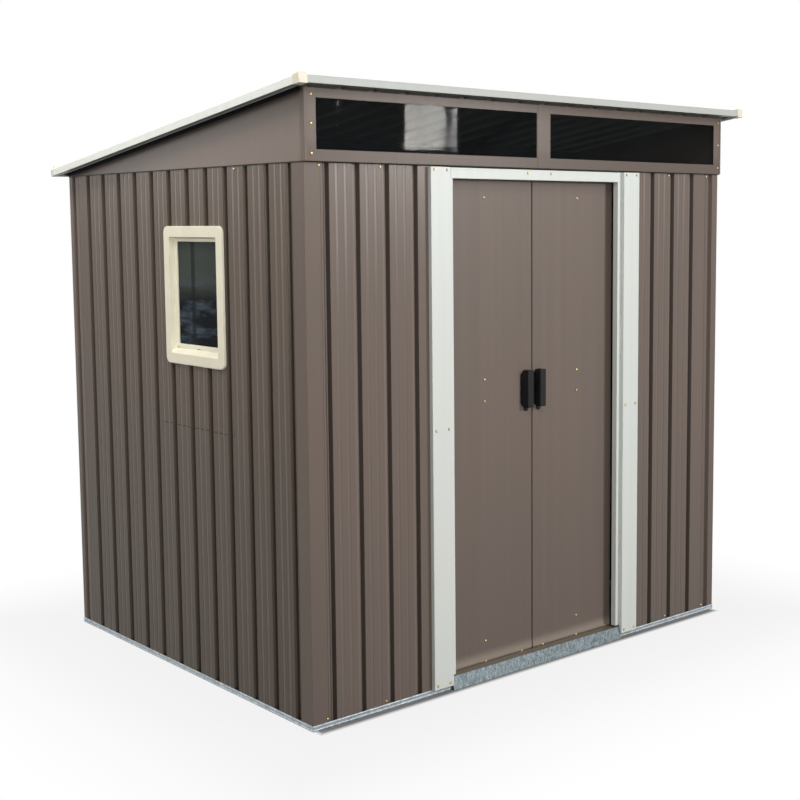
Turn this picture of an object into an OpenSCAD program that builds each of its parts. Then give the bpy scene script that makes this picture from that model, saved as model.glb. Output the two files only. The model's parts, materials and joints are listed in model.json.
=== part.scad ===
// Metal storage shed with a single slope roof, a glazed strip over the doorway
// and two doors that slide apart behind the front wall. Millimetres, +Z up,
// front towards -Y, origin on the ground under the middle of the roof's plan.

/* [Walls] */
// Width between the outer faces of the side walls
wall_w = 1790; // [1450:10:2400]
// Depth between the outer faces of the front and back walls
wall_d = 1430; // [1150:10:2000]
// Height of the top edge of the wall sheets
wall_h = 1604; // [1320:2:1940]
// Thickness of the folded sheet
sheet = 1; // [0.8:0.1:1.4]

/* [Corrugation] */
// Spacing of the grooves in the front and back walls
front_pitch = 104.8; // [80:0.1:140]
// Distance from the left edge of the front wall to its first groove
front_first = 71; // [50:1:110]
// Spacing of the grooves in the side walls
side_pitch = 110.3; // [80:0.1:140]
// Distance from the front edge of a side wall to its first groove
side_first = 72; // [50:1:110]
// Depth of a groove in a wall sheet
groove_depth = 12; // [6:0.5:16]
// Width of a groove at the face of the sheet
groove_mouth = 26; // [18:1:36]
// Width of the flat bottom of a groove
groove_floor = 14; // [8:1:16]
// Depth of the fine beads pressed into each pan
bead_depth = 1.5; // [0.5:0.1:3]
// Width of a fine bead
bead_w = 10; // [6:0.5:12]
// Width of the flat crest of a fine bead
bead_flat = 4; // [2:0.5:5]
// Distance from the middle of a pan to each of its beads
bead_off = 15; // [10:0.5:20]

/* [Corners] */
// Leg of a corner sheet that ends before the first groove
corner_leg = 54; // [30:1:80]
// Leg of a corner sheet at the far end of a groove pattern
corner_far_leg = 68; // [40:1:90]
// Width by which a wall sheet runs behind a corner sheet
corner_lap = 9; // [4:1:10]

/* [Base rails] */
// Height of the outer lip of a base rail
rail_lip = 17; // [10:1:30]
// Depth of a base rail from the wall face inward
rail_d = 30; // [20:1:40]
// Overlap of a top rail below the top edge of the wall sheets
rail_top_lip = 28; // [15:1:40]
// Width of the inner flange of a top rail
rail_flange = 25; // [15:1:40]
// Height of the outer lip of the back top rail
back_lip = 14; // [8:1:24]

/* [Transom and gables] */
// Overlap of the transom and the gables below the top edge of the walls
band_lap = 9; // [4:1:12]
// Distance of the transom in front of the wall face
transom_out = 10; // [5:1:20]
// Distance of a gable outside the wall face
gable_out = 3; // [2:0.5:6]
// Margin of the transom below and above its panes
pane_margin = 32; // [20:1:60]
// Margin of the transom at its outer ends
pane_end = 37; // [20:1:80]
// Distance of the inner edge of the left pane from the middle
pane_mid_left = 22; // [20:1:60]
// Distance of the inner edge of the right pane from the middle
pane_mid_right = 38; // [15:1:60]
// Distance of the seam between the transom sheets left of the middle
seam_off = 18; // [0:1:18]
// Thickness of a transom pane
pane_t = 3; // [2:0.5:5]
// Overlap of a pane behind the edge of its opening
pane_lap = 12; // [5:1:14]
// Gap between the two transom sheets, and between their panes
pane_gap = 0.5; // [0.5:0.5:2]

/* [Roof] */
// Slope of the roof in degrees
roof_pitch = 7.6; // [6.8:0.1:9]
// Overhang of the roof in front of the front wall
roof_front = 67; // [60:1:120]
// Overhang of the roof at each side
roof_side = 55; // [40:1:100]
// Overhang of the roof behind the back wall
roof_back = 29; // [20:1:80]
// Height of the ribs of the roof sheet
roof_rib_h = 8; // [5:0.5:10]
// Spacing aimed at for the ribs of the roof sheet
roof_rib_pitch = 112; // [90:1:140]
// Height of the roof trim
trim_h = 21; // [18:1:30]
// Depth of the roof trim below the underside of the roof sheet
trim_drop = 8; // [4:0.5:8]
// Width of the lower lip of the roof trim
trim_lip = 18; // [10:1:26]
// Width of the upper lip of the roof trim
trim_top_lip = 14; // [8:1:24]
// Length of a corner cap along each edge
cap_len = 28; // [20:1:50]
// Height of a corner cap
cap_h = 28; // [26:1:40]
// Wall thickness of a corner cap
cap_t = 1.5; // [1:0.25:3]
// Depth of a corner cap below the trims
cap_drop = 2; // [1.5:0.5:5]
// Gap between the side trims and the lips of the front and back trims
trim_gap = 0.5; // [0.2:0.1:3]
// Height of the roof beam
beam_h = 40; // [25:1:60]
// Width of the roof beam
beam_w = 30; // [20:1:50]

/* [Doorway] */
// Half the width over the outer edges of the door jambs
jamb_half = 457.5; // [400:0.5:560]
// Width of the flat face of a door jamb
jamb_flat = 76; // [50:1:90]
// Width of the set back strip of a door jamb
jamb_strip = 18; // [10:1:30]
// Distance of the jamb face in front of the wall face
jamb_out = 14; // [8:1:20]
// Distance of the set back strip in front of the wall face
strip_out = 2; // [1.5:0.5:5]
// Distance to which the jamb return reaches behind the wall face
jamb_return = 18; // [10:1:20]
// Distance of the top of the jambs and the header below the top edge of the walls
jamb_drop = 14; // [10:1:40]
// Distance of the front wall sheets from the steps of the jambs
jamb_seat = 3; // [2:0.5:10]
// Height of the header over the doorway
header_h = 32; // [20:1:50]
// Length by which the header laps each jamb strip
header_lap = 7.5; // [4:0.5:16]
// Gap between the folds of the header and the jambs
header_gap = 0.5; // [0.2:0.1:2]
// Height of the doorway threshold
ramp_h = 40; // [30:1:60]
// Distance of the crest of the threshold in front of the wall face
ramp_crest = 2; // [2:0.5:10]
// Distance of the toe of the threshold in front of its crest
ramp_run = 12; // [6:1:40]
// Width of the fold along the toe of the threshold
ramp_hem = 9; // [4:1:12]
// Gap between the threshold and the jamb strips above it
ramp_room = 5; // [2:1:15]
// Side clearance of the threshold between the jambs
ramp_side_gap = 1; // [0.5:0.5:5]

/* [Doors] */
// Clearance between the base rail and the door face
door_room = 6; // [5:0.5:20]
// Thickness of a door leaf
door_t = 16; // [14:1:30]
// Gap between the two closed leaves
door_gap = 5; // [5:0.5:10]
// Overlap of a closed leaf behind its jamb
door_lap = 11; // [5:1:30]
// Overlap of the leaves behind the header
door_head = 12; // [6:1:24]
// Width of the stiffener across the back of a leaf
door_brace_h = 60; // [30:5:100]
// Height of the stiffener above the ground
door_brace_z = 870; // [400:10:1000]
// Height of the lower guide fin
fin_h = 18; // [12:1:20]
// Gap between the edge of a leaf and the guide fin below or above it
fin_gap = 4.5; // [3:0.5:8]
// Height of the top track above the header
track_rise = 5; // [2:1:10]
// Height of the flange by which the top track hangs on the walls
track_flange = 25; // [15:1:30]
// Gap between the ends of the tracks and the top rails
track_gap = 7; // [3:1:20]
// Running gap on each side of a guide fin
glide_gap = 0.3; // [0.2:0.05:0.6]
// Length of a glide
glide_l = 40; // [20:5:80]
// Set-back of a glide from the front and the back of its leaf
glide_side = 1.5; // [1:0.5:3]
// Height of the lower glides above the ground
glide_low = 4; // [3:0.5:8]
// Gap between the upper glides and the top track
glide_head = 6; // [5:0.5:10]
// Distance of a glide from the end of its leaf
glide_inset = 30; // [15:5:80]

/* [Door handles] */
// Height of the middle of the handles
handle_z = 898; // [700:2:1100]
// Height of a handle plate
handle_h = 120; // [80:2:160]
// Width of a handle plate
handle_w = 47; // [30:1:60]
// Thickness of a handle plate
handle_plate = 4; // [2:0.5:6]
// Reach of a handle in front of the door face
handle_out = 25; // [15:1:28]
// Width of the grip at its front face
handle_grip = 24; // [10:1:30]
// Distance of the foot of the grip inside the edge of its plate
handle_foot = 3; // [1:0.5:8]
// Distance of a handle plate from the meeting edge of its leaf
handle_edge = 1.5; // [0:0.5:10]
// Chamfer at the corners of a handle plate
handle_cut = 14; // [4:1:15]
// Width of the lug below a handle
lug_w = 17; // [10:1:24]
// Reach of the lug below its handle plate
lug_drop = 13; // [8:1:20]

/* [Side window] */
// Distance of the middle of the window behind the front wall face
win_y = 590; // [450:5:900]
// Distance of the top of the window frame below the top edge of the walls
win_drop = 183; // [60:1:400]
// Width over the window frame
win_w = 346; // [240:2:420]
// Height over the window frame
win_h = 428; // [300:2:460]
// Width of the flange of the window frame
win_flange = 34; // [20:1:50]
// Wall thickness of the collar that passes through the wall
win_wall = 2.5; // [1.5:0.5:5]
// Distance of the flange face outside the wall face
win_out = 8; // [4:1:16]
// Corner radius of the window frame
win_r = 22; // [8:1:30]
// Corner radius of the recess and of the glass opening
win_inner_r = 5; // [2:1:12]
// Width of the set back inner rim of the window frame
win_rim = 20; // [10:1:30]
// Reach of the inner rim behind the wall face
win_in = 13; // [12:1:20]
// Clearance of the window frame in the wall opening
win_fit = 0.5; // [0.2:0.1:1]
// Distance of the score line below the window frame
score_drop = 195; // [60:1:400]
// Length of the score line
score_l = 420; // [200:10:440]
// Width of the score line
score_t = 1.5; // [1:0.5:3]
// Height of the short score at each end of the score line
score_hook = 15; // [5:1:40]

/* [Hidden] */
$fn = 48;
// offset that keeps cut faces apart, and reach of a cutting body past its piece
eps = 0.01;
cut = 1;
// clearance of flat seats that lie on the slope
seat = 0.02;
// least flat length between two folds of a corrugated sheet
fold_room = 3 * sheet;

half_w = wall_w / 2;
mid_y = (wall_d + roof_back - roof_front) / 2;
// groove positions are measured from the left edge of the front
front_start = front_first - half_w;
side_start = side_first - wall_d / 2;

// the roof plane passes through the top of the back rail at its outer edge
roof_y0 = wall_d + 2 * sheet;
roof_z0 = wall_h + sheet;
roof_ribs = round(wall_w / roof_rib_pitch);
roof_step = wall_w / roof_ribs;
trim_top = trim_h - trim_drop;
cap_low = trim_drop + cap_drop;
front_run = (roof_y0 + roof_front - cap_low * sin(roof_pitch)) / cos(roof_pitch);
back_run = (roof_back + wall_d - roof_y0 - trim_top * sin(roof_pitch)) / cos(roof_pitch);
edge_x = half_w + roof_side;
face_x = edge_x - cap_t;
front_face = front_run - cap_t;
side_trim_start = back_run - trim_lip - trim_gap;
side_trim_l = side_trim_start + front_face - trim_lip - trim_gap;

band_z = wall_h - band_lap;
transom_top = roof_under(-transom_out + sheet);
pane_z = band_z + pane_margin;
pane_h = transom_top - pane_margin - pane_z;

step_half = jamb_half - jamb_flat;
strip_half = step_half - jamb_strip;
jamb_top = wall_h - jamb_drop;
header_z = jamb_top - header_h;

door_back = rail_d + door_room;
door_z = fin_h + fin_gap;
door_top = header_z + door_head;
door_h = door_top - door_z;
door_w = strip_half + door_lap - door_gap / 2;
fin_y = door_back + (door_t - sheet) / 2;
track_top = jamb_top + track_rise;
track_end = half_w - groove_depth - sheet - rail_flange - track_gap;
glide_t = door_t - 2 * glide_side;
glide_top = track_top - sheet - glide_head;

win_z = wall_h - win_drop - win_h / 2;
win_hole_w = win_w - 2 * win_flange;
win_hole_h = win_h - 2 * win_flange;
glass_w = win_hole_w - 2 * win_rim;
glass_h = win_hole_h - 2 * win_rim;
collar_w = win_hole_w + 2 * win_wall;
collar_h = win_hole_h + 2 * win_wall;
score_z = win_z - win_h / 2 - score_drop;

taupe = [0.47, 0.43, 0.40];
pale = [0.85, 0.87, 0.84];
zinc = [0.60, 0.66, 0.68];
cream = [0.94, 0.93, 0.86];
tinted = [0.12, 0.15, 0.17];
black = [0.05, 0.05, 0.05];

// height of the underside of the roof sheet above a point at depth y
function roof_under(y) = roof_z0 + (roof_y0 - y) * tan(roof_pitch) - seat;

// unit vector from a to b, and the same turned a quarter to the left
function heading(a, b) = (b - a) / norm(b - a);
function turned(d) = [-d[1], d[0]];

// the folded edge at distance t to the left of path p, with mitred folds
function folded(p, t) = [for (i = [0:len(p) - 1])
    let(n = len(p) - 1,
        a = turned(i > 0 ? heading(p[i - 1], p[i]) : heading(p[0], p[1])),
        b = turned(i < n ? heading(p[i], p[i + 1]) : heading(p[n - 1], p[n])))
    p[i] + t * (a + b) / (1 + a * b)];
function backwards(p) = [for (i = [len(p) - 1:-1:0]) p[i]];

// section of a sheet of thickness t that is folded along path p
module folded_section(p, t = sheet) polygon(concat(p, backwards(folded(p, t))));

// extrude a section of (Y, Z) points along X from x0 to x1
module along_x(x0, x1) {
    translate([x0, 0, 0]) rotate([90, 0, 90]) linear_extrude(x1 - x0) children();
}

// groove around position g, and one fine bead around position c
function groove(g, depth = groove_depth) = [
    [g - groove_mouth / 2, 0], [g - groove_floor / 2, depth],
    [g + groove_floor / 2, depth], [g + groove_mouth / 2, 0]];
function bead(c) = [
    [c - bead_w / 2, 0], [c - bead_flat / 2, bead_depth],
    [c + bead_flat / 2, bead_depth], [c + bead_w / 2, 0]];
// a groove, or a pan's pair of beads, belongs to the sheet from a to b that holds it whole
function whole_groove(g, a, b) =
    g - groove_mouth / 2 > a && g + groove_mouth / 2 < b ? groove(g) : [];
function whole_beads(c, a, b) =
    c - bead_off - bead_w > a && c + bead_off + bead_w < b
    ? concat(bead(c - bead_off), bead(c + bead_off)) : [];
function pattern(a, b, first, pitch) = [
    for (k = [floor((a - first) / pitch) : ceil((b - first) / pitch)])
        let(g = first + k * pitch)
            for (q = concat(
                whole_groove(g, a + fold_room, b - fold_room),
                whole_beads(g + pitch / 2, a + fold_room, b - fold_room))) q];
// ends of a wall sheet that step one sheet inward and run behind a corner sheet
function lap_start(a) = [[a - corner_lap, sheet], [a, sheet], [a + sheet, 0]];
function lap_end(b) = [[b - sheet, 0], [b, sheet], [b + corner_lap, sheet]];
function lapped(a, b, first, pitch) =
    concat(lap_start(a), pattern(a, b, first, pitch), lap_end(b));

// placing: the front frame has X along the wall and Y inward
module shed() translate([0, -mid_y, 0]) children();
module at_back() translate([0, wall_d, 0]) mirror([0, 1, 0]) children();
module at_left() translate([-half_w, wall_d / 2, 0]) mirror([1, -1, 0]) children();
module at_right() mirror([1, 0, 0]) at_left() children();
module at_roof() translate([0, roof_y0, roof_z0]) rotate([-roof_pitch, 0, 0]) children();

// base rail of outer length len with mitred ends
module base_rail(len) {
    outer = len / 2 + sheet;
    inner = outer - rail_d - sheet;
    intersection() {
        along_x(-outer, outer) folded_section([
            [-sheet, rail_lip], [-sheet, 0], [rail_d, 0], [rail_d, rail_lip]]);
        translate([0, 0, -cut]) linear_extrude(rail_lip + 2 * cut) polygon([
            [-outer, -sheet], [outer, -sheet], [inner, rail_d], [-inner, rail_d]]);
    }
}
module base_rail_front() color(zinc) shed() base_rail(wall_w);
module base_rail_back() color(zinc) shed() at_back() base_rail(wall_w);
module base_rail_left() color(zinc) shed() at_left() base_rail(wall_d);
module base_rail_right() color(zinc) shed() at_right() base_rail(wall_d);

// upright corrugated sheet standing in the base rail
module upright(path) {
    translate([0, 0, sheet]) linear_extrude(wall_h - sheet) folded_section(path);
}

module front_wall_left() color(taupe) shed() upright(concat(
    lap_start(-half_w + corner_leg),
    pattern(-half_w + corner_leg, -jamb_half, front_start, front_pitch),
    [[-step_half - jamb_seat, 0]]));
module front_wall_right() color(taupe) shed() upright(concat(
    [[step_half + jamb_seat, 0]],
    pattern(jamb_half, half_w - corner_far_leg, front_start, front_pitch),
    lap_end(half_w - corner_far_leg)));
module back_wall() color(taupe) shed() at_back() upright(
    lapped(-half_w + corner_leg, half_w - corner_far_leg, front_start, front_pitch));
module side_wall() upright(
    lapped(-wall_d / 2 + corner_leg, wall_d / 2 - corner_far_leg, side_start, side_pitch));
module right_wall() color(taupe) shed() at_right() side_wall();
module left_wall() color(taupe) shed() at_left() difference() {
    win_x = win_y - wall_d / 2;
    cut_w = collar_w + 2 * win_fit;
    cut_h = collar_h + 2 * win_fit;
    side_wall();
    // opening for the window
    translate([win_x - cut_w / 2, -cut, win_z - cut_h / 2])
        cube([cut_w, groove_depth + sheet + 2 * cut, cut_h]);
    // score line pressed through the pans only, with a short score up at each end
    translate([win_x - score_l / 2, -cut, score_z])
        cube([score_l, cut + sheet + eps, score_t]);
    for (s = [-1, 1])
        translate([win_x + s * score_l / 2 - score_t / 2, -cut, score_z])
            cube([score_t, cut + sheet + eps, score_hook]);
}

// corner sheet: leg a along X from the corner at the origin, leg b along Y, with
// the grooves of the neighbouring walls at the given positions, if any
module corner_sheet(a, b, ga, gb) {
    side = [for (g = backwards(gb)) for (q = backwards(groove(g))) [q[1], q[0]]];
    front = [for (g = ga) for (q = groove(g)) q];
    upright(concat([[0, b]], side, [[0, 0]], front, [[a, 0]]));
}
// groove positions inside a far leg of length leg, measured from the corner
function far_grooves(total, leg, first, pitch) = [for (k = [floor(total / pitch):-1:0])
    let(g = total - first - k * pitch)
    if (g - groove_mouth / 2 > fold_room && g + groove_mouth / 2 < leg - corner_lap) g];
front_far = far_grooves(wall_w, corner_far_leg, front_first, front_pitch);
side_far = far_grooves(wall_d, corner_far_leg, side_first, side_pitch);

module corner_front_left() color(taupe) shed() translate([-half_w, 0, 0])
    corner_sheet(corner_leg, corner_leg, [], []);
module corner_front_right() color(taupe) shed() translate([half_w, 0, 0]) mirror([1, 0, 0])
    corner_sheet(corner_far_leg, corner_leg, front_far, []);
module corner_back_left() color(taupe) shed() at_back() translate([-half_w, 0, 0])
    corner_sheet(corner_leg, corner_far_leg, [], side_far);
module corner_back_right() color(taupe) shed() at_back() translate([half_w, 0, 0]) mirror([1, 0, 0])
    corner_sheet(corner_far_leg, corner_far_leg, front_far, side_far);

// angle along the inside of a side wall, under the roof
module upper_rail_side() {
    face = groove_depth + sheet;
    along_x(-wall_d / 2 + face + sheet, wall_d / 2 - rail_d - 2 * sheet) folded_section([
        [face + rail_flange, wall_h], [face, wall_h], [face, wall_h - rail_top_lip]]);
}
module upper_rail_left() color(zinc) shed() at_left() upper_rail_side();
module upper_rail_right() color(zinc) shed() at_right() upper_rail_side();
module upper_rail_back() color(zinc) shed() at_back() {
    inner = half_w - groove_depth - 2 * sheet;
    along_x(-half_w, half_w) folded_section([
        [rail_d, wall_h + sheet], [-sheet, wall_h + sheet], [-sheet, wall_h - back_lip]]);
    // the inner lip stops short of the side walls
    translate([-inner, rail_d - sheet, wall_h - rail_lip]) cube([2 * inner, sheet, rail_lip + sheet]);
}

// sheet of the transom from x0 to x1 with a pane opening from p0 to p1 and a fold
// back to the wall face along its lower edge and at its outer end
module transom_sheet(x0, x1, p0, p1, end) {
    difference() {
        union() {
            translate([x0, -transom_out, band_z]) cube([x1 - x0, sheet, transom_top - band_z]);
            translate([x0, -transom_out, band_z]) cube([x1 - x0, transom_out, sheet]);
            along_x(end, end + sheet) polygon([
                [-transom_out, band_z], [0, band_z], [0, roof_under(0)],
                [-transom_out + sheet, transom_top], [-transom_out, transom_top]]);
        }
        translate([p0, -transom_out - cut, pane_z]) cube([p1 - p0, sheet + 2 * cut, pane_h]);
    }
}
module transom_sheet_left() color(taupe) shed() transom_sheet(
    -half_w, -seam_off - pane_gap, -half_w + pane_end, -pane_mid_left, -half_w);
module transom_sheet_right() color(taupe) shed() transom_sheet(
    -seam_off, half_w, pane_mid_right, half_w - pane_end, half_w - sheet);
module transom_pane(p0, p1) {
    translate([p0, -transom_out + sheet, pane_z - pane_lap])
        cube([p1 - p0, pane_t, pane_h + 2 * pane_lap]);
}
// the left pane reaches across the seam, so that it carries both sheets there
module transom_pane_left() color(tinted) shed() transom_pane(
    -half_w + pane_end - pane_lap, pane_mid_right - pane_lap - pane_gap);
module transom_pane_right() color(tinted) shed() transom_pane(
    pane_mid_right - pane_lap, half_w - pane_end + pane_lap);

// flat gable above a side wall, folded back to the wall along its lower edge
module gable() {
    translate([-half_w - gable_out, 0, 0]) {
        along_x(0, sheet) polygon([
            [0, band_z], [wall_d, band_z], [wall_d, roof_under(wall_d)], [0, roof_under(0)]]);
        translate([0, 0, band_z]) cube([gable_out, wall_d, sheet]);
        translate([0, wall_d - sheet, band_z]) cube([gable_out, sheet, wall_h - band_z]);
    }
}
module gable_left() color(taupe) shed() gable();
module gable_right() color(taupe) shed() mirror([1, 0, 0]) gable();

// stepped jamb: return, set back strip, step and flat face
module door_jamb() {
    difference() {
        translate([0, 0, rail_lip]) linear_extrude(jamb_top - rail_lip) folded_section([
            [strip_half, jamb_return], [strip_half, -strip_out], [step_half, -strip_out],
            [step_half, -jamb_out], [jamb_half, -jamb_out], [jamb_half, 0]]);
        // strip and return stop above the threshold; the return stops under the header
        translate([strip_half - cut, -strip_out - eps, 0])
            cube([jamb_strip + cut - eps, jamb_return + strip_out + cut, ramp_h + ramp_room]);
        translate([strip_half - cut, -strip_out + sheet + eps, header_z])
            cube([jamb_strip, jamb_return + strip_out, header_h + cut]);
    }
}
module door_jamb_left() color(pale) shed() mirror([1, 0, 0]) door_jamb();
module door_jamb_right() color(pale) shed() door_jamb();

module door_header() color(pale) shed() {
    half_face = strip_half + header_lap;
    half_fold = strip_half - header_gap;
    y0 = -strip_out - sheet;
    translate([-half_face, y0, header_z]) cube([2 * half_face, sheet, header_h]);
    // lower and upper folds between the jambs, back to the flange of the top track
    for (z = [header_z, jamb_top - sheet])
        translate([-half_fold, y0, z]) cube([2 * half_fold, groove_depth + sheet - y0, sheet]);
}

// top track: flange against the wall grooves, web, and the fin that guides the doors
module door_top_track() color(zinc) shed() along_x(-track_end, track_end) folded_section([
    [fin_y + sheet, door_top + fin_gap], [fin_y + sheet, track_top],
    [groove_depth + sheet, track_top], [groove_depth + sheet, track_top - track_flange]]);
module door_floor_track() color(zinc) shed() along_x(-track_end, track_end) folded_section([
    [rail_d, 0], [fin_y + sheet, 0], [fin_y + sheet, fin_h]]);

// folded threshold over the base rail, between the jamb steps
module door_threshold() color(zinc) shed()
    along_x(-step_half + ramp_side_gap, step_half - ramp_side_gap) folded_section([
        [rail_d, rail_lip], [rail_d, ramp_h], [-ramp_crest, ramp_h],
        [-ramp_crest - ramp_run, 0], [-ramp_crest - ramp_run + ramp_hem, 0]]);

// rounded rectangle w by h about the origin
module rounded(w, h, r) {
    square([w - 2 * r, h], center = true);
    square([w, h - 2 * r], center = true);
    for (i = [-1, 1])
        for (j = [-1, 1])
            translate([i * (w / 2 - r), j * (h / 2 - r)]) circle(r);
}
// window pieces are drawn in the wall's own frame, X along the wall, Y inward
module at_window() at_left() translate([win_y - wall_d / 2, 0, win_z]) rotate([-90, 0, 0]) children();
module window_frame() color(cream) shed() at_window() difference() {
    union() {
        translate([0, 0, -win_out]) linear_extrude(win_out) rounded(win_w, win_h, win_r);
        // collar through the wall, with the rim that carries the glass
        translate([0, 0, -win_out / 2]) linear_extrude(win_in + win_out / 2)
            square([collar_w, collar_h], center = true);
    }
    // recess inside the flange, then the glass opening inside the rim
    translate([0, 0, -win_out - cut]) linear_extrude(win_out + cut)
        rounded(win_hole_w, win_hole_h, win_inner_r);
    translate([0, 0, -cut]) linear_extrude(win_in + 2 * cut) rounded(glass_w, glass_h, win_inner_r);
}
// the pane laps half of the rim on each side
module window_pane() color(tinted) shed() at_window()
    translate([0, 0, win_in]) linear_extrude(pane_t)
        square([glass_w + win_rim, glass_h + win_rim], center = true);

// roof pieces are drawn on the slope: Y runs down to the back, Z is square to it
roof_path = concat([[-face_x + sheet + seat, 0]],
    [for (k = [-1:roof_ribs + 1]) let(g = -half_w + k * roof_step)
        if (abs(g) + groove_mouth / 2 < face_x - fold_room) for (q = groove(g, roof_rib_h)) q],
    [[face_x - sheet - seat, 0]]);
module roof_sheet() color(taupe) shed() at_roof()
    translate([0, back_run - sheet - seat, 0]) rotate([90, 0, 0])
        linear_extrude(back_run + front_face - 2 * sheet - 2 * seat)
            translate([0, roof_rib_h + sheet]) mirror([0, 1]) folded_section(roof_path);
// channel section of the trim, with its face at X = 0 and its lips towards +X
module trim_section() folded_section([
    [trim_top_lip, trim_top], [0, trim_top], [0, -trim_drop], [trim_lip, -trim_drop]]);
module roof_trim_left() color(pale) shed() at_roof()
    translate([-face_x, side_trim_start, 0]) rotate([90, 0, 0])
        linear_extrude(side_trim_l) trim_section();
module roof_trim_right() mirror([1, 0, 0]) roof_trim_left();
module roof_trim_front() color(pale) shed() at_roof() translate([0, -front_face, 0])
    along_x(-face_x, face_x) trim_section();
module roof_trim_back() color(pale) shed() at_roof() translate([0, back_run, 0]) mirror([0, 1, 0])
    along_x(-face_x, face_x) trim_section();
// plastic cap over the meeting of the front and side trims
module roof_cap() {
    translate([-edge_x, -front_run, -cap_low]) difference() {
        cube([cap_len, cap_len, cap_h]);
        translate([cap_t, cap_t, cap_low - trim_drop])
            cube([cap_len, cap_len, trim_h]);
    }
}
module roof_cap_left() color(cream) shed() at_roof() roof_cap();
module roof_cap_right() color(cream) shed() at_roof() mirror([1, 0, 0]) roof_cap();
// beam across the shed under the middle of the roof
module roof_beam() color(zinc) shed() at_roof() translate([0, -(wall_d / 2) / cos(roof_pitch), 0])
    along_x(-half_w - gable_out + sheet, half_w + gable_out - sheet) folded_section([
        [beam_w / 2, -beam_h], [-beam_w / 2, -beam_h], [-beam_w / 2, 0], [beam_w / 2, 0]], -sheet);

// door leaf drawn for the right side: a tray that is open to the back
module door_leaf() {
    x0 = door_gap / 2;
    difference() {
        translate([x0, door_back, door_z]) cube([door_w, door_t, door_h]);
        translate([x0 + sheet, door_back + sheet, door_z + sheet])
            cube([door_w - 2 * sheet, door_t, door_h - 2 * sheet]);
    }
    // stiffener across the back, a shallow channel against the face sheet
    translate([x0 + sheet, 0, 0]) along_x(0, door_w - 2 * sheet) folded_section([
        [door_back + sheet, door_brace_z], [door_back + door_t - sheet, door_brace_z],
        [door_back + door_t - sheet, door_brace_z + door_brace_h],
        [door_back + sheet, door_brace_z + door_brace_h]]);
}
module door_left_leaf() color(taupe) shed() mirror([1, 0, 0]) door_leaf();
module door_right_leaf() color(taupe) shed() door_leaf();

// slotted block of one glide from z0 to z1, with its slot for the fin from s0 to s1
module glide(x, z0, z1, s0, s1) difference() {
    translate([x, fin_y + sheet / 2 - glide_t / 2, z0]) cube([glide_l, glide_t, z1 - z0]);
    translate([x - cut, fin_y - glide_gap, s0])
        cube([glide_l + 2 * cut, sheet + 2 * glide_gap, s1 - s0]);
}
// glides at both ends of the leaf, below it and above it
module door_glides() {
    first = door_gap / 2 + glide_inset;
    last = door_gap / 2 + door_w - glide_inset - glide_l;
    for (x = [first, last]) {
        glide(x, glide_low, door_z, glide_low - cut, fin_h + glide_gap);
        glide(x, door_top, glide_top, door_top + fin_gap - glide_gap, glide_top + cut);
    }
}
module door_left_glides() color(black) shed() mirror([1, 0, 0]) door_glides();
module door_right_glides() color(black) shed() door_glides();

// pull handle: chamfered plate, grip and the lug below it
function cut_plate(w, h, c) = [
    [-w / 2 + c, -h / 2], [w / 2 - c, -h / 2], [w / 2, -h / 2 + c], [w / 2, h / 2 - c],
    [w / 2 - c, h / 2], [-w / 2 + c, h / 2], [-w / 2, h / 2 - c], [-w / 2, -h / 2 + c]];
module door_handle() {
    cx = door_gap / 2 + handle_edge + handle_w / 2;
    translate([cx, door_back, handle_z]) rotate([90, 0, 0]) {
        linear_extrude(handle_plate) polygon(cut_plate(handle_w, handle_h, handle_cut));
        // grip narrows towards its front face, within the plate's outline
        intersection() {
            linear_extrude(handle_out) polygon(cut_plate(handle_w, handle_h, handle_cut));
            translate([0, handle_h / 2, 0]) rotate([90, 0, 0]) linear_extrude(handle_h) polygon([
                [-handle_w / 2 + handle_foot, 0], [handle_w / 2 - handle_foot, 0],
                [handle_grip / 2, handle_out], [-handle_grip / 2, handle_out]]);
        }
        translate([-lug_w / 2, -handle_h / 2 - lug_drop + lug_w / 2, 0])
            cube([lug_w, lug_drop, handle_plate]);
        translate([0, -handle_h / 2 - lug_drop + lug_w / 2, 0])
            cylinder(h = handle_plate, r = lug_w / 2);
    }
}
module door_left_handle() color(black) shed() mirror([1, 0, 0]) door_handle();
module door_right_handle() color(black) shed() door_handle();

base_rail_front();
base_rail_back();
base_rail_left();
base_rail_right();
front_wall_left();
front_wall_right();
left_wall();
right_wall();
back_wall();
corner_front_left();
corner_front_right();
corner_back_left();
corner_back_right();
upper_rail_left();
upper_rail_right();
upper_rail_back();
transom_sheet_left();
transom_sheet_right();
transom_pane_left();
transom_pane_right();
gable_left();
gable_right();
door_jamb_left();
door_jamb_right();
door_header();
door_top_track();
door_floor_track();
door_threshold();
window_frame();
window_pane();
roof_beam();
roof_sheet();
roof_trim_front();
roof_trim_back();
roof_trim_left();
roof_trim_right();
roof_cap_left();
roof_cap_right();
door_left_leaf();
door_left_handle();
door_left_glides();
door_right_leaf();
door_right_handle();
door_right_glides();
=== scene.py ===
"""Looks of a metal storage shed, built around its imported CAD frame.

Lengths are metres in the frame of the CAD model: the front faces -Y and +Z is up.
Places come from the boxes of the CAD nodes, so the looks follow the frame. Tables marked in
millimetres are multiplied by MM where they are used.
"""
import json
import math
import random
from collections import namedtuple

import bpy
from mathutils import Matrix, Vector


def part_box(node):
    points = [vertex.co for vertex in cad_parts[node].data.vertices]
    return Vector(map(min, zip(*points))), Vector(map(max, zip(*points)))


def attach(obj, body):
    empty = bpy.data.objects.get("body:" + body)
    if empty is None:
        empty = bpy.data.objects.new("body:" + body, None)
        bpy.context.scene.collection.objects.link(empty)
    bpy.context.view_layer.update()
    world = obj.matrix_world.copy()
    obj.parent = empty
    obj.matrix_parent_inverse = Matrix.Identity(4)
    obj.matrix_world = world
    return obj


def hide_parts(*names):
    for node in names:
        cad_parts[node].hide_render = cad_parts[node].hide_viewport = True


MM = 0.001

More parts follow.
